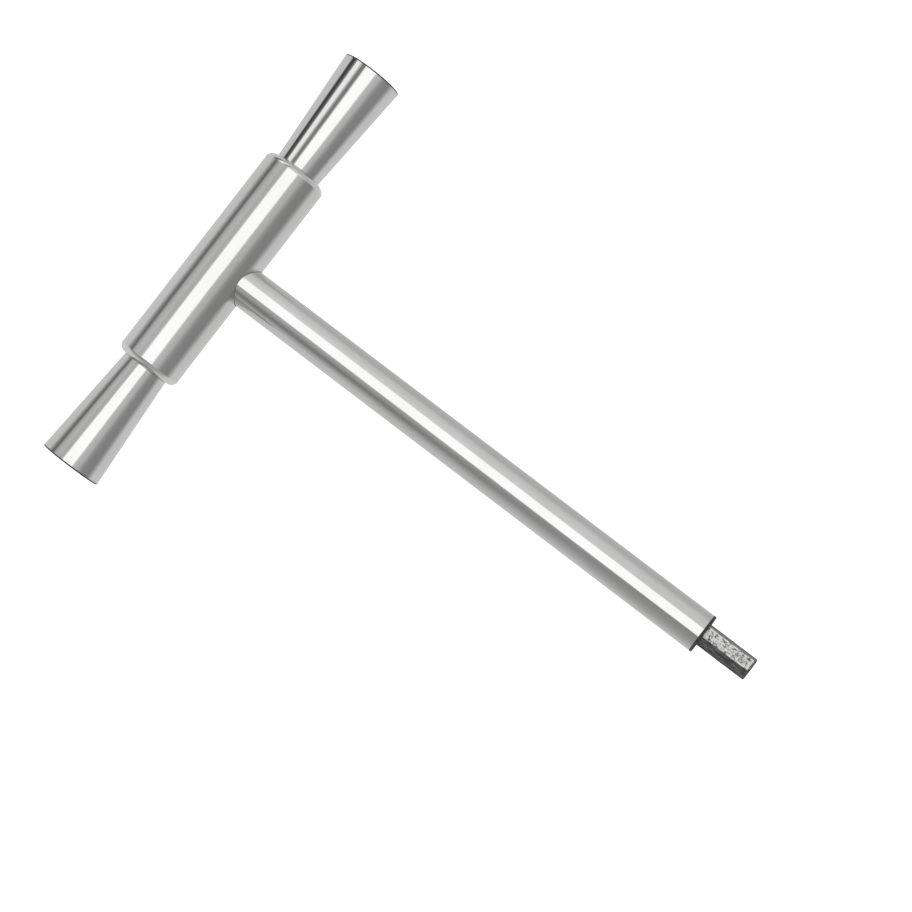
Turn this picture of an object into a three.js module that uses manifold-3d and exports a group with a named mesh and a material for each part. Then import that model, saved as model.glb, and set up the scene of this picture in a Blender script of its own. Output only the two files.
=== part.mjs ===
// A T-handled tap wrench with a removable hexagonal driver bit, in millimetres.
//
// A stout round barrel carries a flared grip at each end. A tie rod runs through
// the barrel from grip to grip and passes through a cross hole in the head of the
// shaft, so that tightening the grips locks the whole tool together. The free end
// of the shaft is a hexagonal socket with a magnet and a spring ring, which hold
// the bit.
//
// Frame: +X runs along the shaft, out of the tip. The handle lies along Y, and +Z
// is up when the tool lies on a bench. The origin is the centre of the bit's free end.

import * as THREE from 'three';
import { mergeVertices } from 'three/addons/utils/BufferGeometryUtils.js';
import Module from 'manifold-3d';

const wasm = await Module();
wasm.setup();

// Driving dimensions
const hexAcrossFlats = 6.35;
const bitLength = 25;
const bitExposed = 16;
const bitChamfer = 0.45;
const flatTilt = THREE.MathUtils.degToRad(16);

const shaftRadius = 6;
const axisToTip = 187;
const shaftEdgeBreak = 0.4;
const headBeyondAxis = 6.5;

const barrelRadius = 9.75;
const barrelLength = 71;
const barrelFillet = 2.4;

const gripLength = 34.8;
const gripNeckRadius = 7.1;
const gripEndRadius = 9.4;
const gripEdgeBreak = 0.7;

const rodRadius = 4;
const rodThreadLength = 20;
const rodEngagement = 15;
const rodChamfer = 0.8;
const threadRootStep = 0.15;

const washerInnerRadius = 4.25;
const washerOuterRadius = 6.35;
const washerThickness = 1.6;
const washerSplit = 1.2;

const ringInnerRadius = 3.78;
const ringWire = 0.6;
const ringFromMouth = 2.4;
const ringOpening = THREE.MathUtils.degToRad(50);

const magnetRadius = 2.5;
const magnetThickness = 3;

// Gaps between neighbouring pieces, and how far a cutting tool runs past a face
const restGap = 0.3;
const socketGap = 0.12;
const overrun = 1;

// Smoothness of the round shapes
const roundSides = 60;
const smallSides = 36;
const arcSteps = 4;
const wireSteps = 28;
const wireSides = 4;

// Places along the shaft's axis
const handleX = -axisToTip;
const shaftEndX = -bitExposed;
const shaftHeadX = handleX - headBeyondAxis;
const bitInnerX = -bitLength;
const socketDepth = bitLength - bitExposed + restGap;
const magnetPocketDepth = magnetThickness + restGap;

// Hexagon corner radii
const bitCornerRadius = hexAcrossFlats / Math.sqrt(3);
const socketCornerRadius = (hexAcrossFlats + 2 * socketGap) / Math.sqrt(3);

// Materials

function steel(name, color, roughness) {
  return new THREE.MeshStandardMaterial({ name, color, roughness, metalness: 1 });
}

const polishedSteel = () => steel('polished_steel', 0xd6d7d8, 0.12);
const plainSteel = () => steel('plain_steel', 0x9a9b9d, 0.4);
const darkSteel = () => steel('dark_steel', 0x4a4a4c, 0.55);
const springSteel = () => steel('spring_steel', 0x5a5b5e, 0.45);
const nickelPlate = () => steel('nickel_plate', 0xb9b8b2, 0.3);

// Solids

function solidFrom(geometry) {
  const bare = geometry.clone();
  bare.deleteAttribute('normal');
  bare.deleteAttribute('uv');
  const merged = mergeVertices(bare);
  return new wasm.Manifold(new wasm.Mesh({
    numProp: 3,
    vertProperties: new Float32Array(merged.attributes.position.array),
    triVerts: new Uint32Array(merged.index.array),
  }));
}

function geometryFrom(solid) {
  const mesh = solid.getMesh();
  const geometry = new THREE.BufferGeometry();
  geometry.setAttribute('position', new THREE.BufferAttribute(mesh.vertProperties, 3));
  geometry.setIndex(new THREE.BufferAttribute(mesh.triVerts, 1));
  geometry.computeVertexNormals();
  return geometry;
}

// A solid of revolution about Y. Each point of the outline is [radius, place along Y],
// starting and ending on the axis, in rising order of Y.
function turned(outline, sides = roundSides) {
  const points = outline.map(([radius, along]) => new THREE.Vector2(radius, along));
  return new THREE.LatheGeometry(points, sides);
}

// A plain round bar about Y between two places.
function bar(radius, from, to, sides = smallSides) {
  return turned([[0, from], [radius, from], [radius, to], [0, to]], sides);
}

// A hexagonal bar about Y between two places, with optional chamfers on its ends. Laid
// along the shaft, one of its flats faces up, tilted a little towards +Y.
function hexBar(cornerRadius, from, to, chamfer = 0) {
  const inner = cornerRadius - chamfer;
  const outline = chamfer > 0
    ? [[0, from], [inner, from], [cornerRadius, from + chamfer],
      [cornerRadius, to - chamfer], [inner, to], [0, to]]
    : [[0, from], [cornerRadius, from], [cornerRadius, to], [0, to]];
  return turned(outline, 6).rotateY(Math.PI / 6 - flatTilt);
}

// Turns a solid about Y into one about the shaft's axis: +Y goes to +X, +Z stays up.
function alongShaft(geometry) {
  return geometry.rotateZ(-Math.PI / 2);
}

function mesh(name, geometry, material) {
  const piece = new THREE.Mesh(geometry, material);
  piece.name = name;
  return piece;
}

// The outline points of a rounded corner, as a quarter circle about a centre, from the
// angle `from` to `to`, where 0 degrees points away from the axis and 90 along +Y.
function roundedCorner(centreRadius, centreAlong, radius, from, to) {
  const points = [];
  for (let step = 0; step <= arcSteps; step += 1) {
    const angle = THREE.MathUtils.degToRad(from + ((to - from) * step) / arcSteps);
    points.push([
      centreRadius + radius * Math.cos(angle),
      centreAlong + radius * Math.sin(angle),
    ]);
  }
  return points;
}

// Barrel: a round sleeve with rounded ends, bored for the tie rod, recessed at both
// ends for the spring washers and drilled from one side for the shaft's head.

const halfBarrel = barrelLength / 2;
const recessRadius = washerOuterRadius + restGap;
const recessDepth = washerThickness + 2 * restGap;
const rodBoreRadius = rodRadius + restGap;

function barrelGeometry() {
  const cornerRadius = barrelRadius - barrelFillet;
  const cornerAlong = halfBarrel - barrelFillet;
  const outside = solidFrom(turned([
    [0, -halfBarrel],
    ...roundedCorner(cornerRadius, -cornerAlong, barrelFillet, -90, 0),
    ...roundedCorner(cornerRadius, cornerAlong, barrelFillet, 0, 90),
    [0, halfBarrel],
  ]));
  const past = halfBarrel + overrun;
  const rodBore = solidFrom(bar(rodBoreRadius, -past, past));
  const lowRecess = solidFrom(bar(recessRadius, -past, recessDepth - halfBarrel));
  const highRecess = solidFrom(bar(recessRadius, halfBarrel - recessDepth, past));
  const shaftHole = solidFrom(alongShaft(
    bar(shaftRadius + restGap, -headBeyondAxis - restGap, barrelRadius + overrun, roundSides),
  ));
  return geometryFrom(
    outside.subtract(rodBore).subtract(lowRecess).subtract(highRecess).subtract(shaftHole),
  );
}

// Shaft: a round bar with a cross hole through its head and, in its free end, a
// hexagonal socket, a groove for the spring ring and a pocket for the magnet.

function shaftGeometry() {
  const start = shaftHeadX;
  const end = shaftEndX;
  const outside = solidFrom(alongShaft(turned([
    [0, start],
    [shaftRadius - shaftEdgeBreak, start],
    [shaftRadius, start + shaftEdgeBreak],
    [shaftRadius, end - shaftEdgeBreak],
    [shaftRadius - shaftEdgeBreak, end],
    [0, end],
  ])));
  const crossHole = solidFrom(bar(rodBoreRadius, -2 * shaftRadius, 2 * shaftRadius))
    .translate(handleX, 0, 0);
  const socket = solidFrom(alongShaft(
    hexBar(socketCornerRadius, end - socketDepth, end + overrun),
  ));
  const grooveCentre = end - ringFromMouth;
  const grooveRadius = ringInnerRadius + ringWire + restGap;
  const grooveHalfWidth = ringWire / 2 + restGap / 2;
  const groove = solidFrom(alongShaft(
    bar(grooveRadius, grooveCentre - grooveHalfWidth, grooveCentre + grooveHalfWidth),
  ));
  const pocketFloor = end - socketDepth - magnetPocketDepth;
  const pocket = solidFrom(alongShaft(
    bar(magnetRadius + restGap, pocketFloor, end - socketDepth + overrun),
  ));
  return geometryFrom(
    outside.subtract(crossHole).subtract(socket).subtract(groove).subtract(pocket),
  );
}

// Tie rod: a round rod, stepped down a little where its ends are threaded.

const halfRod = halfBarrel + rodEngagement;

function tieRodGeometry() {
  const threadRadius = rodRadius - threadRootStep;
  const threadStart = halfRod - rodThreadLength;
  return turned([
    [0, -halfRod],
    [threadRadius - rodChamfer, -halfRod],
    [threadRadius, -halfRod + rodChamfer],
    [threadRadius, -threadStart - threadRootStep],
    [rodRadius, -threadStart],
    [rodRadius, threadStart],
    [threadRadius, threadStart + threadRootStep],
    [threadRadius, halfRod - rodChamfer],
    [threadRadius - rodChamfer, halfRod],
    [0, halfRod],
  ], smallSides);
}

// Grip: a flared round bar that is widest at its free end, with a blind threaded
// bore in its neck. It is drawn for the +Y side, with its neck at the barrel's end.

function gripGeometry() {
  const start = halfBarrel + restGap / 2;
  const end = halfBarrel + gripLength;
  const edgeCentre = [gripEndRadius - gripEdgeBreak, end - gripEdgeBreak];
  const outside = solidFrom(turned([
    [0, start],
    [gripNeckRadius, start],
    [gripEndRadius, end - gripEdgeBreak],
    ...roundedCorner(...edgeCentre, gripEdgeBreak, 0, 90).slice(1),
    [0, end],
  ]));
  const boreFloor = halfRod + restGap;
  const drillPoint = rodRadius / 2;
  const bore = solidFrom(turned([
    [0, start - overrun],
    [rodBoreRadius, start - overrun],
    [rodBoreRadius, boreFloor],
    [0, boreFloor + drillPoint],
  ], smallSides));
  return geometryFrom(outside.subtract(bore));
}

// Spring washer: a flat split ring that sits in the barrel's recess. Drawn for +Y.

function springWasherGeometry() {
  const inner = halfBarrel - recessDepth + restGap;
  const outer = inner + washerThickness;
  const ring = solidFrom(bar(washerOuterRadius, inner, outer))
    .subtract(solidFrom(bar(washerInnerRadius, inner - overrun, outer + overrun)));
  const slot = solidFrom(
    new THREE.BoxGeometry(washerSplit, 2 * washerThickness, 2 * washerOuterRadius)
      .translate(0, (inner + outer) / 2, washerOuterRadius),
  );
  return geometryFrom(ring.subtract(slot));
}

// Spring ring: a round-wire ring with an opening, in the groove of the socket.

function retainingRingGeometry() {
  const wireRadius = ringWire / 2;
  const middleRadius = ringInnerRadius + wireRadius;
  const sweep = 2 * Math.PI - ringOpening;
  class RingLine extends THREE.Curve {
    getPoint(t, target = new THREE.Vector3()) {
      const angle = ringOpening / 2 + sweep * t;
      return target.set(0, middleRadius * Math.sin(angle), middleRadius * Math.cos(angle));
    }
  }
  const section = new THREE.Shape().absarc(0, 0, wireRadius, 0, 2 * Math.PI);
  return new THREE.ExtrudeGeometry(section, {
    steps: wireSteps,
    curveSegments: wireSides,
    extrudePath: new RingLine(),
  }).translate(shaftEndX - ringFromMouth, 0, 0);
}

function magnetGeometry() {
  const face = shaftEndX - socketDepth;
  return alongShaft(bar(magnetRadius, face - magnetThickness, face));
}

function bitGeometry() {
  return alongShaft(hexBar(bitCornerRadius, bitInnerX, 0, bitChamfer));
}

// The tool

const handle = new THREE.Group();
handle.position.x = handleX;
handle.add(mesh('barrel', barrelGeometry(), polishedSteel()));
handle.add(mesh('tie_rod', tieRodGeometry(), plainSteel()));
for (const [side, turn] of [['left', Math.PI], ['right', 0]]) {
  const end = new THREE.Group();
  end.rotation.z = turn;
  end.add(mesh(`grip_${side}`, gripGeometry(), polishedSteel()));
  end.add(mesh(`spring_washer_${side}`, springWasherGeometry(), springSteel()));
  handle.add(end);
}

const group = new THREE.Group();
group.add(handle);
group.add(mesh('shaft', shaftGeometry(), polishedSteel()));
group.add(mesh('bit_retaining_ring', retainingRingGeometry(), springSteel()));
group.add(mesh('bit_magnet', magnetGeometry(), nickelPlate()));
group.add(mesh('hex_bit', bitGeometry(), darkSteel()));

export default group;
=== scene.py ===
import math

import bmesh
import bpy
import numpy as np
from mathutils import Matrix, Vector


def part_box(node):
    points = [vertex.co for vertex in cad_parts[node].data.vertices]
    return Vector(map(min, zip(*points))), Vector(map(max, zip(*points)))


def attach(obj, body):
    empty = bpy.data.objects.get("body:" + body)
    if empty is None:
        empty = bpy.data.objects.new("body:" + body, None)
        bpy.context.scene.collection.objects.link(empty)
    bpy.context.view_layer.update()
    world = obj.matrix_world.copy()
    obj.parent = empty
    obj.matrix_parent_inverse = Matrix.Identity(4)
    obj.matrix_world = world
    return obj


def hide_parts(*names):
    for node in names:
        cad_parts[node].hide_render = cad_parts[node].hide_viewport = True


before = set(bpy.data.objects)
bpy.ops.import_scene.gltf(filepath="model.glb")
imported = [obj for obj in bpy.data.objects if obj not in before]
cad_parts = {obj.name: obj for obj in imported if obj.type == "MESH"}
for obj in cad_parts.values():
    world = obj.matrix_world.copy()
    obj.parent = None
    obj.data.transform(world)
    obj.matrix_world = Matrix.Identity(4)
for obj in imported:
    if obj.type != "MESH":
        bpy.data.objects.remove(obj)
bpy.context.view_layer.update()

# The T-handled tap wrench as it looks. Shapes are drawn in millimetres, in the row's
# frame: +X runs along the shaft and out of the tip, the handle lies along Y, and the
# bench is under the barrel. Places and main sizes are read from the CAD nodes.

MM = 0.001
SIDES = 144
CUTTER_SIDES = 96
CUTTER_PAST = 1.0     # how far a cutter reaches past the surface that it opens
FLOOR_GAP = 0.3       # left between a part's end and the bottom of its bore
FIT_GAP = 0.15        # left round a part that sits in a bore
SLACK = 0.01
TINY = 1e-9


# ---------------------------------------------------------------- places and sizes

def span(node, axis):
    """The lowest and highest place of a CAD node along an axis, in millimetres."""
    low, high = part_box(node)
    return low[axis] / MM, high[axis] / MM


BARREL_LOW_X, BARREL_HIGH_X = span("barrel", 0)
HANDLE_X = (BARREL_LOW_X + BARREL_HIGH_X) / 2
BARREL_RADIUS = (BARREL_HIGH_X - BARREL_LOW_X) / 2
HALF_BARREL = span("barrel", 1)[1]
BARREL_FILLET = 2.8
BARREL_CREASE = 20    # degrees between the rounded end and the cylinder where they meet
BENCH_Z = span("barrel", 2)[0]

GRIP_END = span("grip_right", 1)[1]
GRIP_END_RADIUS = span("grip_right", 2)[1]
GRIP_NECK_RADIUS = 7.1
GRIP_EDGE = 0.45
GRIP_NECK_EDGE = 0.12
GRIP_NECK_GAP = 0.04
GRIP_MOUTH = 0.5      # how much wider the bore's mouth is than its thread

SHAFT_HEAD, SHAFT_END = span("shaft", 0)
SHAFT_RADIUS = span("shaft", 2)[1]
SHAFT_CHAMFER = 0.2
SHAFT_HEAD_CHAMFER = 0.4
SHAFT_BAND = 0.85     # length of the dark edge at the shaft's end, which is painted shade
SHAFT_SEAM = 0.1
SHAFT_SKIN = 0.5      # faces deeper than this below its surface aren't polished

ROD_RADIUS = 4.0
ROD_END = span("tie_rod", 1)[1]
ROD_BORE_RADIUS = 4.2
ROD_CHAMFER = 0.8
THREAD_LENGTH = 20.0
THREAD_PITCH = 1.25
THREAD_DEPTH = 0.7
THREAD_CREST = 0.12   # share of half a pitch that the flat crest takes
THREAD_FLANK = 0.72   # and the share that the slope takes
THREAD_RUN_IN = 1.5
THREAD_RUN_OUT = 0.4
THREAD_CLEARANCE = 0.08
THREAD_PAST = 1.0     # the rod's thread carries on past its end, so it doesn't fade there
THREAD_INSET = 0.4    # how far inside the grip its thread starts
THREAD_SHOWN = 4      # turns drawn in a grip's bore
THREAD_STEPS = 10
THREAD_SIDES = 64

WASHER_INSIDE, WASHER_OUTSIDE = span("spring_washer_right", 1)
WASHER_RADIUS = span("spring_washer_right", 2)[1]
WASHER_BORE_RADIUS = 4.25
WASHER_EDGE = 0.2
WASHER_SPLIT = 1.2
RECESS_GAP = 0.2
RECESS_RADIUS = WASHER_RADIUS + RECESS_GAP
RECESS_FLOOR = WASHER_INSIDE - RECESS_GAP

BIT_INSIDE, BIT_END = span("hex_bit", 0)
BIT_FLAT_TO_FLAT = 6.35
BIT_CHAMFER = 0.3
BIT_CORNER_ROUND = 0.12
BIT_BRIGHT_ENDS = 0.75    # how far from the bit's end its painted-highlight flat stops, leaving painted shade at the end
FLAT_TILT = math.radians(16)
SOCKET_FLAT_TO_FLAT = 6.55
SOCKET_MOUTH_DEPTH = 0.35
SOCKET_MOUTH_WIDER = 1.5
SOCKET_PAST = 0.4

RING_X = sum(span("bit_retaining_ring", 0)) / 2
RING_WIRE = 0.3
RING_MIDDLE_RADIUS = 4.08
RING_OPENING = math.radians(50)
GROOVE_RADIUS = RING_MIDDLE_RADIUS + RING_WIRE + FIT_GAP
GROOVE_HALF_WIDTH = 0.45

MAGNET_BACK, MAGNET_FACE = span("bit_magnet", 0)
MAGNET_RADIUS = 2.5
MAGNET_EDGE = 0.25
POCKET_RADIUS = MAGNET_RADIUS + FIT_GAP
POCKET_FLOOR = MAGNET_BACK - FLOOR_GAP

ALONG_HANDLE = Matrix.Translation((HANDLE_X, 0, 0))
ALONG_SHAFT = Matrix.Rotation(-math.pi / 2, 4, "Z")


# ---------------------------------------------------------------- outlines

class Line:
    """A straight stretch of a turned outline, from one (radius, along) point to another.
    The solid is on the left of the way it runs, so its outside is on the right."""

    def __init__(self, start, end, steps=1):
        self.start = np.array(start, float)
        self.end = np.array(end, float)
        self.steps = steps
        run = self.end - self.start
        self.length = math.hypot(*run)
        self.way = run / self.length
        self.outward = np.array((self.way[1], -self.way[0]))

    def points(self):
        share = np.linspace(0, 1, self.steps + 1)[:, None]
        return self.start + share * (self.end - self.start)

    def gap(self, points):
        offset = points - self.start
        past = np.clip(offset @ self.way, 0, self.length)
        nearest = self.start + past[:, None] * self.way
        return np.hypot(*(points - nearest).T)

    def normals(self, points):
        return np.broadcast_to(self.outward, points.shape)


class Arc:
    """A rounded stretch of a turned outline, about a centre. 0 degrees points away from
    the axis and 90 degrees along it."""

    def __init__(self, centre, radius, start, end, steps=8):
        self.centre = np.array(centre, float)
        self.radius = radius
        self.angles = np.radians(np.linspace(start, end, steps + 1))

    def points(self):
        way = np.stack((np.cos(self.angles), np.sin(self.angles)), axis=1)
        return self.centre + self.radius * way

    def gap(self, points):
        offset = points - self.centre
        angle = np.arctan2(offset[:, 1], offset[:, 0])
        low, high = sorted((self.angles[0], self.angles[-1]))
        away = np.maximum(np.maximum(low - angle, angle - high), 0) * self.radius
        return np.abs(np.hypot(*offset.T) - self.radius) + away

    def normals(self, points):
        offset = points - self.centre
        return offset / np.maximum(np.hypot(*offset.T), TINY)[:, None]


def joined(*points):
    """Straight stretches from each (radius, along) point to the next."""
    return [Line(start, end) for start, end in zip(points, points[1:])]


def drum(radius, low, high):
    """The outline of a plain cylinder."""
    return joined((0, low), (radius, low), (radius, high), (0, high))


def thread_dip(along, angle, start, end):
    """How far a thread's surface is below its crest, at a place along the rod and an
    angle round it. The thread starts and ends by running out gently."""
    turn = along / THREAD_PITCH - angle / (2 * math.pi)
    wave = np.abs(2 * (turn - np.floor(turn)) - 1)
    flank = np.clip((wave - THREAD_CREST) / THREAD_FLANK, 0, 1)
    run_in = np.clip((along - start) / THREAD_RUN_IN, 0, 1)
    run_out = np.clip((end - along) / THREAD_RUN_OUT, 0, 1)
    return THREAD_DEPTH * flank * (run_in * run_out)


# ---------------------------------------------------------------- meshes

def finished(name, shape):
    """Makes an object of a drawn shape and links it into the scene."""
    mesh = bpy.data.meshes.new(name)
    shape.to_mesh(mesh)
    shape.free()
    piece = bpy.data.objects.new(name, mesh)
    bpy.context.scene.collection.objects.link(piece)
    return piece


def mesh_object(name, rings, matrix, capped=False):
    """A closed mesh through rings of points, in millimetres, joined in order. A ring of
    one point is a pole. `capped` closes the first and the last ring with a face."""
    shape = bmesh.new()
    loops = [[shape.verts.new(matrix @ Vector(point) * MM) for point in ring] for ring in rings]
    for one, other in zip(loops, loops[1:]):
        count = max(len(one), len(other))
        for index in range(count):
            following = (index + 1) % count
            if len(one) == 1:
                corners = (one[0], other[following], other[index])
            elif len(other) == 1:
                corners = (one[index], one[following], other[0])
            else:
                corners = (one[index], one[following], other[following], other[index])
            shape.faces.new(corners)
    if capped:
        shape.faces.new(loops[0])
        shape.faces.new(loops[-1])
    bmesh.ops.recalc_face_normals(shape, faces=shape.faces)
    return finished(name, shape)


def ring_round(radius, along, sides):
    """A ring of points about the local Y axis. The radius may be one number or one for
    each side, and a radius of 0 gives a pole."""
    if np.isscalar(radius) and radius == 0:
        return [(0, along, 0)]
    angles = np.linspace(0, 2 * math.pi, sides, endpoint=False)
    radii = np.broadcast_to(radius, angles.shape)
    return [(r * math.sin(a), along, r * math.cos(a)) for r, a in zip(radii, angles)]


def turned(name, outline, matrix, sides=SIDES):
    """A solid of revolution whose outline starts and ends on its axis."""
    points = [outline[0].points()[0]]
    for stretch in outline:
        points.extend(stretch.points()[1:])
    rings = [ring_round(max(radius, 0), along, sides) for radius, along in points]
    return mesh_object(name, rings, matrix)


def cut(piece, *cutters):
    """Takes each cutter out of the piece and deletes it."""
    for cutter in cutters:
        boolean = piece.modifiers.new("cut", "BOOLEAN")
        boolean.operation = "DIFFERENCE"
        boolean.solver = "EXACT"
        boolean.object = cutter
    seen = piece.evaluated_get(bpy.context.evaluated_depsgraph_get())
    result = bpy.data.meshes.new_from_object(seen)
    piece.modifiers.clear()
    old = piece.data
    piece.data = result
    result.name = piece.name
    bpy.data.meshes.remove(old)
    for cutter in cutters:
        bpy.data.objects.remove(cutter)


SAME_WAY = 0.9        # how well a face's normal agrees with the surface that it lies on
ON_AXIS = 1e-4


def gathered(items, key, width=1, kind=float):
    """One attribute of all of a mesh's items, as an array with a row for each."""
    values = np.zeros(len(items) * width, kind)
    items.foreach_get(key, values)
    return values.reshape(-1, width) if width > 1 else values


def shade(piece, surfaces, sharp=35, reach=0.03, flat_area=math.inf):
    """Gives every face that lies on a turned surface that surface's exact normals, so
    that reflections run true. Other faces are smooth up to a sharp angle, but those of
    more than flat_area square millimetres stay flat. Surfaces are pairs of an outline
    and the matrix that places it."""
    mesh = piece.data
    mesh.shade_smooth()
    mesh.set_sharp_from_angle(angle=math.radians(sharp))
    count = len(mesh.polygons)
    centres = gathered(mesh.polygons, "center", 3) / MM
    flats = gathered(mesh.polygons, "normal", 3)
    areas = gathered(mesh.polygons, "area") / MM ** 2
    places = gathered(mesh.vertices, "co", 3) / MM
    corner_vertex = gathered(mesh.loops, "vertex_index", kind=int)
    normals = gathered(mesh.corner_normals, "vector", 3)
    owner = np.repeat(np.arange(count), gathered(mesh.polygons, "loop_total", kind=int))

    wide = areas[owner] > flat_area
    normals[wide] = flats[owner[wide]]

    best = np.full(count, reach)
    chosen = np.full(count, -1)
    side = np.ones(count)
    stretches = [(stretch, matrix) for outline, matrix in surfaces for stretch in outline]
    for index, (stretch, matrix) in enumerate(stretches):
        flat, centre_round = unrolled(centres, matrix)
        ideal = rolled(stretch.normals(flat), centre_round, matrix)
        agreement = np.einsum("ij,ij->i", ideal, flats)
        gap = stretch.gap(flat)
        better = (gap < best) & (np.abs(agreement) > SAME_WAY)
        best[better] = gap[better]
        chosen[better] = index
        side[better] = np.sign(agreement[better])
    for index, (stretch, matrix) in enumerate(stretches):
        mine = chosen[owner] == index
        if not mine.any():
            continue
        faces = owner[mine]
        points, points_round = unrolled(places[corner_vertex[mine]], matrix)
        _, centre_round = unrolled(centres[faces], matrix)
        on_axis = points[:, 0] < ON_AXIS
        points_round[on_axis] = centre_round[on_axis]
        ideal = rolled(stretch.normals(points), points_round, matrix)
        normals[mine] = ideal * side[faces][:, None]
    mesh.normals_split_custom_set(normals.tolist())


def unrolled(points, matrix):
    """Points as (radius, along) about a placed axis, and their directions round it."""
    turn = np.array(matrix.to_3x3())
    local = (points - np.array(matrix.translation)) @ turn
    radius = np.hypot(local[:, 0], local[:, 2])
    safe = np.maximum(radius, TINY)
    return (np.stack((radius, local[:, 1]), axis=1),
            np.stack((local[:, 0] / safe, local[:, 2] / safe), axis=1))


def rolled(normals, directions, matrix):
    """The reverse for normals: from (radius, along) to the row's frame."""
    turn = np.array(matrix.to_3x3())
    local = np.stack((normals[:, 0] * directions[:, 0], normals[:, 1],
                      normals[:, 0] * directions[:, 1]), axis=1)
    return local @ turn.T


def hexagon_ring(flat_to_flat, along, corner_round=0.0):
    """A hexagonal ring of points about the local Y axis, with rounded corners. Laid along
    the shaft, one flat faces up, tilted a little towards +Y."""
    corner = flat_to_flat / math.sqrt(3)
    points = []
    for index in range(6):
        middle = index * math.pi / 3 + math.pi / 6 - FLAT_TILT
        if corner_round == 0:
            points.append((corner * math.sin(middle), along, corner * math.cos(middle)))
            continue
        hub = corner - corner_round / math.cos(math.pi / 6)
        for turn in np.radians((-30, -10, 10, 30)):
            reach = (hub * math.sin(middle) + corner_round * math.sin(middle + turn),
                     hub * math.cos(middle) + corner_round * math.cos(middle + turn))
            points.append((reach[0], along, reach[1]))
    return points


def swept_arc(name, section, radius, opening, matrix, steps):
    """A section swept round the local Y axis at a radius, leaving an opening at +Z.
    Section points are (outward, along). The ends are closed."""
    rings = []
    for angle in np.linspace(opening / 2, 2 * math.pi - opening / 2, steps):
        out = (math.sin(angle), math.cos(angle))
        rings.append([((radius + r) * out[0], y, (radius + r) * out[1]) for r, y in section])
    return mesh_object(name, rings, matrix, capped=True)


def off_handle(place):
    """How far a place is from the handle's axis."""
    return math.hypot(place[0] - HANDLE_X, place[2])


def off_shaft(place):
    """How far a place is from the shaft's axis."""
    return math.hypot(place[1], place[2])


def put_in_place(piece, node, body, slot, *materials):
    for material in materials:
        piece.data.materials.append(material)
    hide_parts(node)
    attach(piece, body)


# ---------------------------------------------------------------- node helpers

def new_material(name):
    material = bpy.data.materials.new(name)
    material.use_nodes = True
    return material, material.node_tree, material.node_tree.nodes["Principled BSDF"]


def new_metal(name, metallic=1.0):
    """A metal's material, its nodes, its shader and the piece's own coordinates."""
    material, tree, shader = new_material(name)
    shader.inputs["Metallic"].default_value = metallic
    return material, tree, shader, stretched(tree, (1, 1, 1))


def dress(tree, shader, colour, roughness, normal):
    """Lets textures drive a shader's colour, roughness and relief."""
    for key, value in (("Base Color", colour), ("Roughness", roughness), ("Normal", normal)):
        tree.links.new(value, shader.inputs[key])


def add(tree, kind, **settings):
    node = tree.nodes.new(kind)
    for key, value in settings.items():
        setattr(node, key, value)
    return node


def stretched(tree, scale):
    """The piece's own coordinates, stretched, as a vector for a texture."""
    place = add(tree, "ShaderNodeTexCoord")
    mapping = add(tree, "ShaderNodeMapping")
    mapping.inputs["Scale"].default_value = scale
    tree.links.new(place.outputs["Object"], mapping.inputs["Vector"])
    return mapping.outputs["Vector"]


def noise(tree, vector, scale, detail=4.0, roughness=0.5, distortion=0.0):
    node = add(tree, "ShaderNodeTexNoise")
    tree.links.new(vector, node.inputs["Vector"])
    node.inputs["Scale"].default_value = scale
    node.inputs["Detail"].default_value = detail
    node.inputs["Roughness"].default_value = roughness
    node.inputs["Distortion"].default_value = distortion
    return node.outputs["Fac"]


def spread(tree, value, low, high, to_low, to_high):
    node = add(tree, "ShaderNodeMapRange", interpolation_type="SMOOTHSTEP")
    tree.links.new(value, node.inputs["Value"])
    for key, number in (("From Min", low), ("From Max", high),
                        ("To Min", to_low), ("To Max", to_high)):
        node.inputs[key].default_value = number
    return node.outputs["Result"]


def combined(tree, operation, one, other):
    node = add(tree, "ShaderNodeMath", operation=operation)
    for socket, value in zip(node.inputs, (one, other)):
        if isinstance(value, (int, float)):
            socket.default_value = value
        else:
            tree.links.new(value, socket)
    return node.outputs["Value"]


def blended(tree, share, one, other):
    node = add(tree, "ShaderNodeMix", data_type="RGBA")
    tree.links.new(share, node.inputs["Factor"])
    node.inputs["A"].default_value = (*one, 1)
    node.inputs["B"].default_value = (*other, 1)
    return node.outputs["Result"]


def mixed(tree, share, one, other):
    """A blend of two numbers, each a socket or a plain number."""
    node = add(tree, "ShaderNodeMix", data_type="FLOAT")
    tree.links.new(share, node.inputs["Factor"])
    for socket, value in ((node.inputs["A"], one), (node.inputs["B"], other)):
        if isinstance(value, (int, float)):
            socket.default_value = value
        else:
            tree.links.new(value, socket)
    return node.outputs["Result"]


def bump(tree, height, strength, distance, below=None):
    node = add(tree, "ShaderNodeBump")
    node.inputs["Strength"].default_value = strength
    node.inputs["Distance"].default_value = distance
    tree.links.new(height, node.inputs["Height"])
    if below is not None:
        tree.links.new(below, node.inputs["Normal"])
    return node.outputs["Normal"]


# ---------------------------------------------------------------- materials

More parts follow.
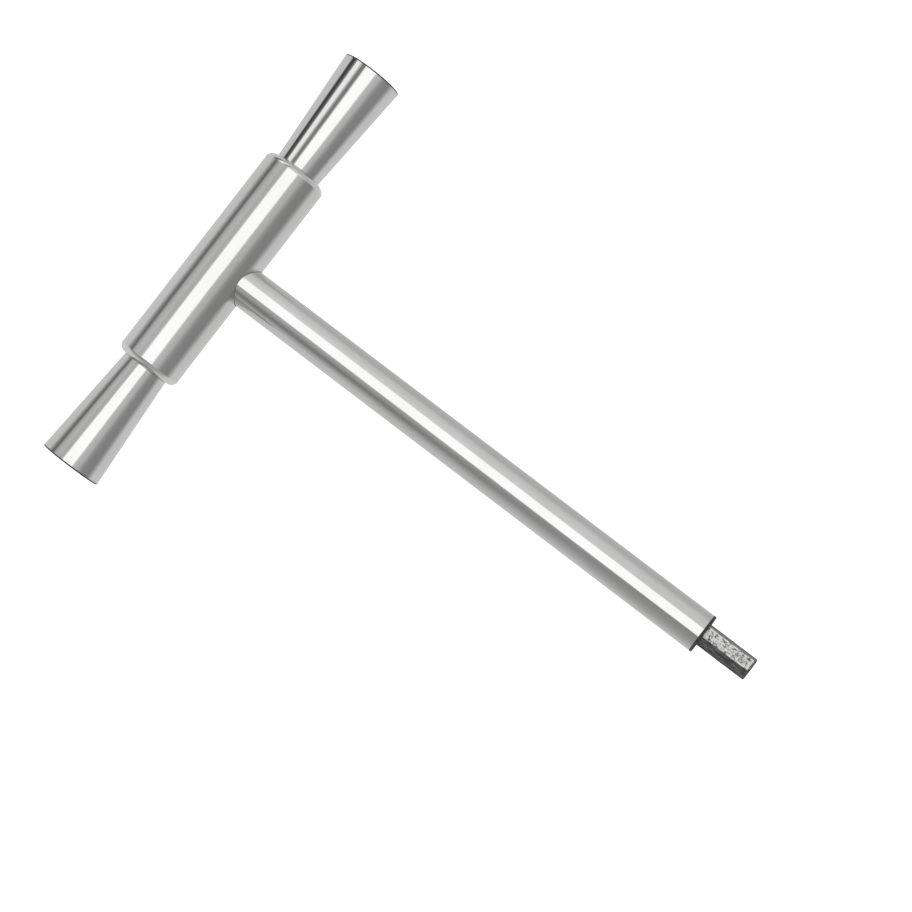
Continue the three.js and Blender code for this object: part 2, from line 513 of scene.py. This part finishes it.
def polished_steel(name, lines, dull=0.0, bright=1.0):
    """Mirror-polished stainless steel. `lines` is a stretch that makes the faint polishing
    marks run round the piece, `dull` is added to its roughness, and `bright` multiplies its
    colour; above 1 it makes a lighter copy that paints a highlight."""
    material, tree, shader, plain = new_metal(name)
    cloud = noise(tree, plain, 45, 5, 0.55)
    smudge = noise(tree, plain, 160, 6, 0.65, 1.2)
    fine = noise(tree, stretched(tree, lines), 420, 3, 0.6)
    hair = noise(tree, stretched(tree, (260, 300, 90)), 6, 2, 0.5, 2.0)
    shades = [tuple(bright * part for part in shade) for shade in
              ((0.715, 0.713, 0.708), (0.76, 0.76, 0.758))]
    colour = blended(tree, spread(tree, cloud, 0.3, 0.7, 0, 1), *shades)
    haze = combined(tree, "ADD", spread(tree, cloud, 0.35, 0.75, 0.075 + dull, 0.115 + dull),
                    spread(tree, smudge, 0.55, 0.8, 0.0, 0.045))
    scratched = combined(tree, "ADD", haze, spread(tree, hair, 0.69, 0.74, 0.0, 0.05))
    lined = bump(tree, fine, 0.02, 0.00004)
    dress(tree, shader, colour, scratched, bump(tree, cloud, 0.03, 0.0004, lined))
    return material


def cut_steel(name, lines, dark, light, rough):
    """Steel as the lathe or the tap left it, with fine tool lines."""
    material, tree, shader, plain = new_metal(name)
    grime = noise(tree, plain, 240, 6, 0.6)
    tool = noise(tree, stretched(tree, lines), 500, 3, 0.7)
    dress(tree, shader,
          blended(tree, spread(tree, grime, 0.3, 0.7, 0, 1), dark, light),
          spread(tree, grime, 0.25, 0.75, rough - 0.08, rough + 0.1),
          bump(tree, tool, 0.25, 0.00006))
    return material


def rough_dark_steel():
    """Hardened dark steel of the bit: an oxide skin with fine streaks along it."""
    material, tree, shader, plain = new_metal("rough dark steel")
    grit = noise(tree, plain, 3200, 4, 0.7)
    drawn = noise(tree, stretched(tree, (0.1, 1, 1)), 2400, 4, 0.65)
    streaks = combined(tree, "ADD", combined(tree, "MULTIPLY", grit, 0.3),
                       combined(tree, "MULTIPLY", drawn, 0.7))
    worn = spread(tree, streaks, 0.42, 0.64, 0, 1)
    gritty = bump(tree, grit, 0.4, 0.00006)
    dress(tree, shader,
          blended(tree, worn, (0.085, 0.085, 0.087), (0.34, 0.34, 0.335)),
          spread(tree, worn, 0, 1, 0.46, 0.34),
          bump(tree, drawn, 0.4, 0.0001, gritty))
    return material


def painted_highlight_steel():
    """The bit's upper flat, painted bright as a highlight because it faces up, with a fine dark
    speckle left in its pits.
    """
    material, tree, shader, plain = new_metal("painted highlight steel")
    speckle = noise(tree, stretched(tree, (0.75, 1, 1)), 1900, 5, 0.6, 0.9)
    region = noise(tree, plain, 330, 2)
    pits = combined(tree, "ADD", combined(tree, "MULTIPLY", speckle, 0.8),
                    combined(tree, "MULTIPLY", region, 0.2))
    bare = spread(tree, pits, 0.43, 0.52, 0, 1)
    dress(tree, shader,
          blended(tree, bare, (0.13, 0.13, 0.132), (0.82, 0.82, 0.81)),
          spread(tree, bare, 0, 1, 0.5, 0.3),
          bump(tree, pits, 0.5, 0.00012))
    return material


def skinned_metal(name, metallic, grain, change, shades, rough, relief):
    """Metal under a thin mottled skin. `grain` is the mottle's scale and detail, `change`
    is where it goes from the first shade to the second, `rough` is the range of its
    roughness, and `relief` is its strength and depth."""
    material, tree, shader, plain = new_metal(name, metallic)
    skin = noise(tree, plain, *grain, 0.6)
    dress(tree, shader,
          blended(tree, spread(tree, skin, *change, 0, 1), *shades),
          spread(tree, skin, 0.3, 0.7, *rough),
          bump(tree, skin, *relief))
    return material


def painted_shade_edge():
    """Painted shade: an unpolished edge coloured near-black, standing in for the shade that
    falls on the ends' edges.
    """
    return skinned_metal("painted shade edge", 0.25, (900, 5), (0.35, 0.65),
                         ((0.03, 0.03, 0.031), (0.075, 0.075, 0.074)),
                         (0.5, 0.62), (0.3, 0.00004))


def oiled_spring_steel():
    return skinned_metal("oiled spring steel", 1.0, (700, 5), (0.35, 0.65),
                         ((0.07, 0.07, 0.075), (0.2, 0.195, 0.19)),
                         (0.28, 0.46), (0.3, 0.00005))


def satin_nickel():
    return skinned_metal("satin nickel", 1.0, (1200, 4), (0.3, 0.7),
                         ((0.5, 0.48, 0.43), (0.62, 0.6, 0.55)),
                         (0.22, 0.36), (0.15, 0.00003))


# ---------------------------------------------------------------- pieces

def make_barrel(material, bore_material, rim_material):
    crease = math.radians(BARREL_CREASE)
    shoulder = BARREL_RADIUS - BARREL_FILLET * math.cos(crease)
    hub = HALF_BARREL - BARREL_FILLET
    middle = hub + BARREL_FILLET * math.sin(crease)
    outline = [
        Line((0, -HALF_BARREL), (shoulder, -HALF_BARREL)),
        Arc((shoulder, -hub), BARREL_FILLET, -90, -BARREL_CREASE, 14),
        Line((BARREL_RADIUS, -middle), (BARREL_RADIUS, middle), 6),
        Arc((shoulder, hub), BARREL_FILLET, BARREL_CREASE, 90, 14),
        Line((shoulder, HALF_BARREL), (0, HALF_BARREL)),
    ]
    beyond = HALF_BARREL + CUTTER_PAST
    bore = [
        *joined((0, -beyond), (RECESS_RADIUS, -beyond), (RECESS_RADIUS, -RECESS_FLOOR),
                (ROD_BORE_RADIUS, -RECESS_FLOOR)),
        Line((ROD_BORE_RADIUS, -RECESS_FLOOR), (ROD_BORE_RADIUS, RECESS_FLOOR), 6),
        *joined((ROD_BORE_RADIUS, RECESS_FLOOR), (RECESS_RADIUS, RECESS_FLOOR),
                (RECESS_RADIUS, beyond), (0, beyond)),
    ]
    hole_radius = SHAFT_RADIUS + SHAFT_SEAM
    hole = drum(hole_radius, SHAFT_HEAD - FLOOR_GAP,
                HANDLE_X + BARREL_RADIUS + 2 * CUTTER_PAST)
    piece = turned("barrel_body", outline, ALONG_HANDLE)
    cut(piece, turned("bore", bore, ALONG_HANDLE, CUTTER_SIDES),
        turned("hole", hole, ALONG_SHAFT, CUTTER_SIDES))
    shade(piece, [(outline, ALONG_HANDLE), (bore, ALONG_HANDLE), (hole, ALONG_SHAFT)], sharp=12)
    put_in_place(piece, "barrel", "tool", "polished_steel",
                 material, bore_material, rim_material)
    # The rounded ends get the rim steel, whose lighter colour is a painted highlight.
    choose_faces(piece, 2, lambda centre: abs(centre[1]) > middle)
    choose_faces(piece, 1, lambda centre: inside_barrel(centre, hole_radius))


def inside_barrel(centre, hole_radius):
    """Whether a point of the barrel's skin is in one of its bores."""
    in_bore = (off_handle(centre) < RECESS_RADIUS + SLACK
               and abs(centre[1]) < HALF_BARREL - SLACK)
    in_hole = centre[0] > HANDLE_X and off_shaft(centre) < hole_radius + SLACK
    return in_bore or in_hole


def choose_faces(piece, index, test):
    """Gives one of the piece's materials to the faces whose centres pass a test."""
    for face in piece.data.polygons:
        if test(face.center / MM):
            face.material_index = index


def make_shaft(material, bore_material, end_material):
    band = SHAFT_END - SHAFT_BAND
    head = SHAFT_HEAD + SHAFT_HEAD_CHAMFER
    outline = [
        *joined((0, SHAFT_HEAD), (SHAFT_RADIUS - SHAFT_HEAD_CHAMFER, SHAFT_HEAD),
                (SHAFT_RADIUS, head)),
        Line((SHAFT_RADIUS, head), (SHAFT_RADIUS, band), 12),
        *joined((SHAFT_RADIUS, band), (SHAFT_RADIUS, SHAFT_END - SHAFT_CHAMFER),
                (SHAFT_RADIUS - SHAFT_CHAMFER, SHAFT_END), (0, SHAFT_END)),
    ]
    through = 2 * SHAFT_RADIUS
    cross = drum(ROD_BORE_RADIUS, -through, through)
    groove = drum(GROOVE_RADIUS, RING_X - GROOVE_HALF_WIDTH, RING_X + GROOVE_HALF_WIDTH)
    pocket = drum(POCKET_RADIUS, POCKET_FLOOR, MAGNET_FACE + CUTTER_PAST)
    mouth = SOCKET_FLAT_TO_FLAT + SOCKET_MOUTH_WIDER
    socket = mesh_object("socket", [
        [(0, MAGNET_FACE, 0)],
        hexagon_ring(SOCKET_FLAT_TO_FLAT, MAGNET_FACE),
        hexagon_ring(SOCKET_FLAT_TO_FLAT, SHAFT_END - SOCKET_MOUTH_DEPTH),
        hexagon_ring(mouth, SHAFT_END + SOCKET_PAST),
        [(0, SHAFT_END + SOCKET_PAST, 0)],
    ], ALONG_SHAFT)
    piece = turned("shaft_bar", outline, ALONG_SHAFT)
    cut(piece, turned("cross", cross, ALONG_HANDLE, CUTTER_SIDES), socket,
        turned("groove", groove, ALONG_SHAFT, CUTTER_SIDES),
        turned("pocket", pocket, ALONG_SHAFT, CUTTER_SIDES))
    shade(piece, [(outline, ALONG_SHAFT), (cross, ALONG_HANDLE),
                  (groove, ALONG_SHAFT), (pocket, ALONG_SHAFT)])
    put_in_place(piece, "shaft", "tool", "polished_steel",
                 material, bore_material, end_material)
    skin = SHAFT_RADIUS - SHAFT_SKIN
    # The shaft's end face and hollows get faced steel, whose dark colour is painted shade.
    choose_faces(piece, 1, lambda centre: off_shaft(centre) < skin)
    # The shaft's last SHAFT_BAND millimetres get the near-black edge, which is painted shade.
    choose_faces(piece, 2, lambda centre: centre[0] > band and off_shaft(centre) > skin)


def make_grip(side, turn, material, bore_material, edge_material):
    """A flared grip, drawn for the +Y end and turned round for the other."""
    start = HALF_BARREL + GRIP_NECK_GAP
    edge = GRIP_END - GRIP_EDGE
    bore_end = ROD_END + FLOOR_GAP
    neck = GRIP_NECK_RADIUS - GRIP_NECK_EDGE
    wide = ROD_RADIUS + THREAD_CLEARANCE
    outer = [
        Line((wide + GRIP_MOUTH, start), (neck, start)),
        Arc((neck, start + GRIP_NECK_EDGE), GRIP_NECK_EDGE, -90, 0, 4),
        Line((GRIP_NECK_RADIUS, start + GRIP_NECK_EDGE), (GRIP_END_RADIUS, edge), 8),
        Arc((GRIP_END_RADIUS - GRIP_EDGE, edge), GRIP_EDGE, 4, 90, 8),
        Line((GRIP_END_RADIUS - GRIP_EDGE, GRIP_END), (0, GRIP_END)),
    ]
    angles = np.linspace(0, 2 * math.pi, SIDES, endpoint=False)
    first = start + THREAD_INSET
    threaded = first + THREAD_SHOWN * THREAD_PITCH
    rings = [ring_round(0, bore_end + ROD_RADIUS / 2, SIDES), ring_round(wide, bore_end, SIDES)]
    steps = int((threaded - start) / THREAD_PITCH * THREAD_STEPS)
    for along in np.linspace(threaded, first, steps):
        dip = thread_dip(along, angles + turn, start, threaded)
        rings.append(ring_round(wide - dip, along, SIDES))
    for stretch in outer:
        skip = 0 if stretch is outer[0] else 1
        rings.extend(ring_round(max(r, 0), y, SIDES) for r, y in stretch.points()[skip:])
    matrix = ALONG_HANDLE @ Matrix.Rotation(turn, 4, "Z")
    piece = mesh_object(f"grip_{side}_body", rings, matrix)
    shade(piece, [(outer, matrix)])
    put_in_place(piece, f"grip_{side}", f"grip_{side}", "polished_steel",
                 material, bore_material, edge_material)
    choose_faces(piece, 1, lambda centre: abs(centre[1]) < bore_end + ROD_RADIUS
                 and off_handle(centre) < wide + GRIP_MOUTH)
    # The grip's rounded end edge gets the near-black edge, which is painted shade.
    choose_faces(piece, 2, lambda centre: edge < abs(centre[1]) < GRIP_END - 0.001)


def make_tie_rod(material):
    """A plain rod with a right-hand thread cut on both ends."""
    angles = np.linspace(0, 2 * math.pi, THREAD_SIDES, endpoint=False)
    inner = ROD_END - THREAD_LENGTH
    steps = int(THREAD_LENGTH / THREAD_PITCH * THREAD_STEPS)
    places = np.linspace(inner, ROD_END, steps)

    def threaded(place, sign):
        limit = ROD_RADIUS - ROD_CHAMFER + np.clip(ROD_END - place, 0, ROD_CHAMFER)
        along = sign * place
        ends = sorted((sign * inner, sign * (ROD_END + THREAD_PAST)))
        dip = thread_dip(along, angles, *ends)
        return ring_round(np.minimum(ROD_RADIUS - dip, limit), along, THREAD_SIDES)

    rings = [ring_round(0, -ROD_END, THREAD_SIDES)]
    rings += [threaded(place, -1) for place in places[::-1]]
    rings += [threaded(place, 1) for place in places]
    rings.append(ring_round(0, ROD_END, THREAD_SIDES))
    piece = mesh_object("tie_rod_bar", rings, ALONG_HANDLE)
    shade(piece, [], sharp=50)
    put_in_place(piece, "tie_rod", "tool", "plain_steel", material)


def make_spring_washer(side, turn, material):
    """A flat split washer of rectangular wire with softened edges."""
    half_width = (WASHER_RADIUS - WASHER_BORE_RADIUS) / 2
    middle = (WASHER_RADIUS + WASHER_BORE_RADIUS) / 2
    section = []
    for out, along, start in ((1, 1, 0), (-1, 1, 90), (-1, -1, 180), (1, -1, 270)):
        hub = WASHER_OUTSIDE - WASHER_EDGE if along > 0 else WASHER_INSIDE + WASHER_EDGE
        for angle in np.radians(np.linspace(start, start + 90, 4)):
            section.append((out * (half_width - WASHER_EDGE) + WASHER_EDGE * math.cos(angle),
                            hub + WASHER_EDGE * math.sin(angle)))
    matrix = ALONG_HANDLE @ Matrix.Rotation(turn, 4, "Z")
    opening = WASHER_SPLIT / middle
    piece = swept_arc(f"spring_washer_{side}_ring", section, middle, opening, matrix, 73)
    shade(piece, [], sharp=50)
    put_in_place(piece, f"spring_washer_{side}", f"washer_{side}", "spring_steel", material)


def make_retaining_ring(material):
    section = [(RING_WIRE * math.cos(angle), RING_X + RING_WIRE * math.sin(angle))
               for angle in np.linspace(0, 2 * math.pi, 16, endpoint=False)]
    piece = swept_arc("bit_retaining_ring_wire", section, RING_MIDDLE_RADIUS, RING_OPENING,
                      ALONG_SHAFT, 61)
    shade(piece, [], sharp=60)
    put_in_place(piece, "bit_retaining_ring", "tool", "spring_steel", material)


def make_magnet(material):
    edge = MAGNET_EDGE
    rim = MAGNET_RADIUS - edge
    outline = [
        Line((0, MAGNET_BACK), (rim, MAGNET_BACK)),
        Arc((rim, MAGNET_BACK + edge), edge, -90, 0, 5),
        Line((MAGNET_RADIUS, MAGNET_BACK + edge), (MAGNET_RADIUS, MAGNET_FACE - edge)),
        Arc((rim, MAGNET_FACE - edge), edge, 0, 90, 5),
        Line((rim, MAGNET_FACE), (0, MAGNET_FACE)),
    ]
    piece = turned("bit_magnet_disc", outline, ALONG_SHAFT, 72)
    shade(piece, [(outline, ALONG_SHAFT)])
    put_in_place(piece, "bit_magnet", "tool", "nickel_plate", material)


def make_bit(material, highlight_material):
    """The flat that faces up is painted bright as a highlight, stopping short of the end so
    that a strip of painted shade stays there, and the others keep their dark skin.
    """
    small = BIT_FLAT_TO_FLAT - 2 * BIT_CHAMFER
    bright_end = BIT_END - BIT_BRIGHT_ENDS
    rings = [[(0, BIT_INSIDE, 0)], hexagon_ring(small, BIT_INSIDE, BIT_CORNER_ROUND)]
    for along in (*np.linspace(BIT_INSIDE + BIT_CHAMFER, bright_end, 12),
                  BIT_END - BIT_CHAMFER):
        rings.append(hexagon_ring(BIT_FLAT_TO_FLAT, along, BIT_CORNER_ROUND))
    rings += [hexagon_ring(small, BIT_END, BIT_CORNER_ROUND), [(0, BIT_END, 0)]]
    piece = mesh_object("hex_bit_bar", rings, ALONG_SHAFT)
    shade(piece, [], sharp=32, flat_area=0.5)
    put_in_place(piece, "hex_bit", "bit", "dark_steel", material, highlight_material)
    # Painted highlight: the flat that faces up gets the bright material, all but its last
    # BIT_BRIGHT_ENDS, where the dark is painted shade.
    facing = Vector((0, math.sin(FLAT_TILT), math.cos(FLAT_TILT)))
    for face in piece.data.polygons:
        if face.normal.dot(facing) > 0.99 and face.center.x / MM < bright_end:
            face.material_index = 1


# ---------------------------------------------------------------- stage, light, camera

FLOOR_HALF = 6.0      # in metres
FLOOR_GLOW = 0.95


def make_floor():
    """A white bench top that glows, so that hardly any shadow shows on it. The steel
    doesn't mirror it."""
    shape = bmesh.new()
    corners = ((-1, -1), (1, -1), (1, 1), (-1, 1))
    shape.faces.new([shape.verts.new((x * FLOOR_HALF, y * FLOOR_HALF, BENCH_Z * MM))
                     for x, y in corners])
    floor = finished("floor", shape)
    material, tree, shader = new_material("white bench")
    mottle = noise(tree, stretched(tree, (1, 1, 1)), 12, 3)
    tree.links.new(blended(tree, mottle, (0.9, 0.9, 0.9), (0.92, 0.92, 0.92)),
                   shader.inputs["Base Color"])
    shader.inputs["Roughness"].default_value = 0.8
    shader.inputs["Emission Color"].default_value = (1, 1, 1, 1)
    shader.inputs["Emission Strength"].default_value = FLOOR_GLOW
    floor.data.materials.append(material)
    floor.visible_glossy = False


# How bright the room is round the tool, seen from it, as (degrees from straight up,
# brightness): from -X to +X, and from -Y to +Y straight above and over towards -X.
ACROSS_X = (
    (-180, 0.70), (-93, 0.68), (-80, 0.36), (-74, 0.21), (-67, 0.17), (-60, 0.44),
    (-53, 0.55), (-42, 0.60), (-33, 0.53), (0, 0.56), (26, 0.62), (43, 0.54),
    (52, 0.37), (63, 0.29), (87, 0.27), (95, 0.36), (111, 0.67), (180, 0.70))
ACROSS_Y = (
    (-180, 0.70), (-150, 0.68), (-120, 0.58), (-105, 0.49), (-85, 0.42), (-65, 0.36),
    (-36, 0.31), (0, 0.5), (22, 0.72), (45, 0.72), (60, 0.70), (72, 0.65),
    (92, 0.52), (130, 0.54), (150, 0.63), (165, 0.72), (180, 0.70))
ACROSS_Y_BACK = (
    (-180, 0.70), (-117, 0.64), (-99, 0.64), (-87, 0.53), (-75, 0.41), (-64, 0.26),
    (-57, 0.21), (-50, 0.24), (-41, 0.36), (-32, 0.43), (0, 0.50), (30, 0.86),
    (45, 0.78), (57, 0.73), (75, 0.66), (90, 0.51), (129, 0.54), (180, 0.64))
BACK_X = (-0.23, -0.02)     # the stretch of X over which the back table takes over
SOFTBOX_X = (-20, 22)
SOFTBOX_Y = (-28, 22)
SOFTBOX_EDGE = 3.0
SOFTBOX_LIGHT = 1.3

# How far the room is turned: as the other part of the way seen goes from the first value
# to the second, the turn goes from the third to the fourth, in degrees. SKEW_X turns the
# table across X and the softbox, and SKEW_Y the softbox alone.
SKEW_X = (-0.035, 0.02, -3, 0)
SKEW_Y = (-0.276, 0, -10, 0)
BACKDROP = 1.0
BENCH_LIGHT = 0.5
SMALLEST = 1e-6             # keeps the share of X defined straight up


def ramped(tree, degrees, table):
    """A table's brightness at an angle from straight up."""
    ramp = add(tree, "ShaderNodeValToRGB")
    points = ramp.color_ramp.elements
    while len(points) < len(table):
        points.new(1.0)
    for point, (place, level) in zip(points, table):
        point.position = place / 360 + 0.5
        point.color = (level, level, level, 1)
    turn = combined(tree, "ADD", combined(tree, "DIVIDE", degrees, 360), 0.5)
    tree.links.new(turn, ramp.inputs["Fac"])
    return ramp.outputs["Color"]


def within(tree, degrees, reach):
    """1 inside the softbox's reach and 0 outside it, with soft edges."""
    low, high = reach
    rise = spread(tree, degrees, low - SOFTBOX_EDGE, low + SOFTBOX_EDGE, 0, 1)
    fall = spread(tree, degrees, high - SOFTBOX_EDGE, high + SOFTBOX_EDGE, 1, 0)
    return combined(tree, "MULTIPLY", rise, fall)


def light_room():
    """A white tent with darker sides and one large softbox overhead, as a world that the
    steel reflects. The camera sees a plain backdrop, and the bench is evenly lit."""
    world = bpy.data.worlds.new("studio")
    world.use_nodes = True
    bpy.context.scene.world = world
    tree = world.node_tree
    tree.nodes.clear()
    place = add(tree, "ShaderNodeTexCoord")
    parts = add(tree, "ShaderNodeSeparateXYZ")
    tree.links.new(place.outputs["Generated"], parts.inputs["Vector"])
    x, y, z = parts.outputs
    x_part = combined(tree, "MULTIPLY", x, x)
    both = combined(tree, "ADD", x_part, combined(tree, "MULTIPLY", y, y))
    share = combined(tree, "DIVIDE", x_part, combined(tree, "MAXIMUM", both, SMALLEST))
    x_degrees, y_degrees = (
        combined(tree, "MULTIPLY", combined(tree, "ARCTAN2", value, z), 180 / math.pi)
        for value in (x, y))
    x_skewed = combined(tree, "ADD", x_degrees, spread(tree, y, *SKEW_X))
    y_skewed = combined(tree, "ADD", y_degrees, spread(tree, x, *SKEW_Y))
    along_y = mixed(tree, spread(tree, x, *BACK_X, 1, 0),
                    ramped(tree, y_degrees, ACROSS_Y), ramped(tree, y_degrees, ACROSS_Y_BACK))
    room = mixed(tree, share, along_y, ramped(tree, x_skewed, ACROSS_X))
    box = combined(tree, "MULTIPLY", within(tree, x_skewed, SOFTBOX_X),
                   within(tree, y_skewed, SOFTBOX_Y))
    lit = mixed(tree, box, room, SOFTBOX_LIGHT)
    ray = add(tree, "ShaderNodeLightPath")
    seen = mixed(tree, ray.outputs["Is Camera Ray"], lit, BACKDROP)
    total = mixed(tree, ray.outputs["Is Diffuse Ray"], seen, BENCH_LIGHT)
    background = add(tree, "ShaderNodeBackground")
    tree.links.new(total, background.inputs["Color"])
    output = add(tree, "ShaderNodeOutputWorld")
    tree.links.new(background.outputs["Background"], output.inputs["Surface"])


# Strips of card close beside the +Y grip, as (degrees from straight up of the way from the
# grip to them, width in degrees, brightness). They are as far off as the grip's radius, and
# STRIP_LOOK is the camera's angle from straight up, seen from the handle.
STRIPS = ((-77, 16.0, 0.07), (-51, 18.5, 1.06), (-28.5, 13.4, 0.24))
STRIP_ENDS = ((35.5, GRIP_NECK_RADIUS), (71.5, GRIP_END_RADIUS))
STRIP_LOOK = 13.7


def place_strips():
    """The strips follow the grip's flare, and only the steel sees them."""
    for index, (degrees, width, light) in enumerate(STRIPS):
        angle = math.radians(degrees)
        facing = math.radians((degrees + STRIP_LOOK) / 2)
        way = Vector((math.sin(angle), 0, math.cos(angle)))
        across = Vector((way.z, 0, -way.x))
        corners = []
        for along, radius in STRIP_ENDS:
            seen_from = Vector((HANDLE_X + radius * math.sin(facing), along,
                                radius * math.cos(facing)))
            half = radius * (1 + math.cos(angle - facing) / 2) * math.radians(width) / 2
            middle = seen_from + way * radius
            corners.append((middle - across * half, middle + across * half))
        shape = bmesh.new()
        (one, two), (four, three) = corners
        shape.faces.new([shape.verts.new(corner * MM) for corner in (one, two, three, four)])
        strip = finished(f"strip_{index}", shape)
        material, _, shader = new_material(f"strip {index}")
        shader.inputs["Base Color"].default_value = (0, 0, 0, 1)
        shader.inputs["Specular IOR Level"].default_value = 0
        shader.inputs["Emission Color"].default_value = (1, 1, 1, 1)
        shader.inputs["Emission Strength"].default_value = light
        strip.data.materials.append(material)
        strip.visible_camera = False
        strip.visible_diffuse = False
        strip.visible_shadow = False


CAMERA_PLACE = (-3.8, -30.4, 749.7)
CAMERA_TARGET = (-101.1, -2.1, 0.0)
CAMERA_TURN = math.radians(37.1)
CAMERA_LENS = 106.6
CAMERA_SENSOR = 36.0


def place_camera():
    """Nearly straight above the shaft's end, looking back at the tool's middle, with the
    picture's right side turned from +X towards +Y."""
    camera = bpy.data.objects.new("camera", bpy.data.cameras.new("camera"))
    camera.data.lens = CAMERA_LENS
    camera.data.sensor_width = CAMERA_SENSOR
    camera.data.clip_start = 0.01
    here = Vector(CAMERA_PLACE) * MM
    back = (here - Vector(CAMERA_TARGET) * MM).normalized()
    level = Vector((math.cos(CAMERA_TURN), math.sin(CAMERA_TURN), 0))
    right = (level - back * level.dot(back)).normalized()
    up = back.cross(right)
    turn = Matrix((right, up, back)).transposed()
    camera.matrix_world = Matrix.Translation(here) @ turn.to_4x4()
    bpy.context.scene.collection.objects.link(camera)
    bpy.context.scene.camera = camera


# ---------------------------------------------------------------- everything

place_camera()
make_floor()
light_room()
place_strips()
bpy.context.scene.view_settings.view_transform = "Standard"

handle_steel = polished_steel("polished steel, handle", (1, 18, 1))
# The rims' colour is lifted by 1.12, a painted highlight for the brighter rims. The added
# roughness is their duller finish.
highlighted_rim_steel = polished_steel("polished steel, rims, painted highlight", (1, 18, 1), 0.11, 1.12)
shaft_steel = polished_steel("polished steel, shaft", (18, 1, 1))
bored_steel = cut_steel("bored steel", (1, 9, 1), (0.16, 0.16, 0.165), (0.3, 0.3, 0.3), 0.42)
# Faced steel is coloured near-black, which is painted shade on the shaft's end face and in its
# hollows. Its tool lines are real.
faced_steel_painted_shade = cut_steel("faced steel painted shade", (9, 1, 1), (0.1, 0.1, 0.105), (0.2, 0.2, 0.2), 0.4)
turned_steel = cut_steel("turned steel", (1, 9, 1), (0.36, 0.36, 0.365), (0.5, 0.5, 0.49), 0.3)
spring_steel = oiled_spring_steel()
# dark_edge is painted shade, on the shaft's end band and on the grips' end edges.
dark_edge = painted_shade_edge()

make_barrel(handle_steel, bored_steel, highlighted_rim_steel)
make_shaft(shaft_steel, faced_steel_painted_shade, dark_edge)
for side_name, half_turn in (("left", math.pi), ("right", 0.0)):
    make_grip(side_name, half_turn, handle_steel, bored_steel, dark_edge)
    make_spring_washer(side_name, half_turn, spring_steel)
make_tie_rod(turned_steel)
make_retaining_ring(spring_steel)
make_magnet(satin_nickel())
make_bit(rough_dark_steel(), painted_highlight_steel())
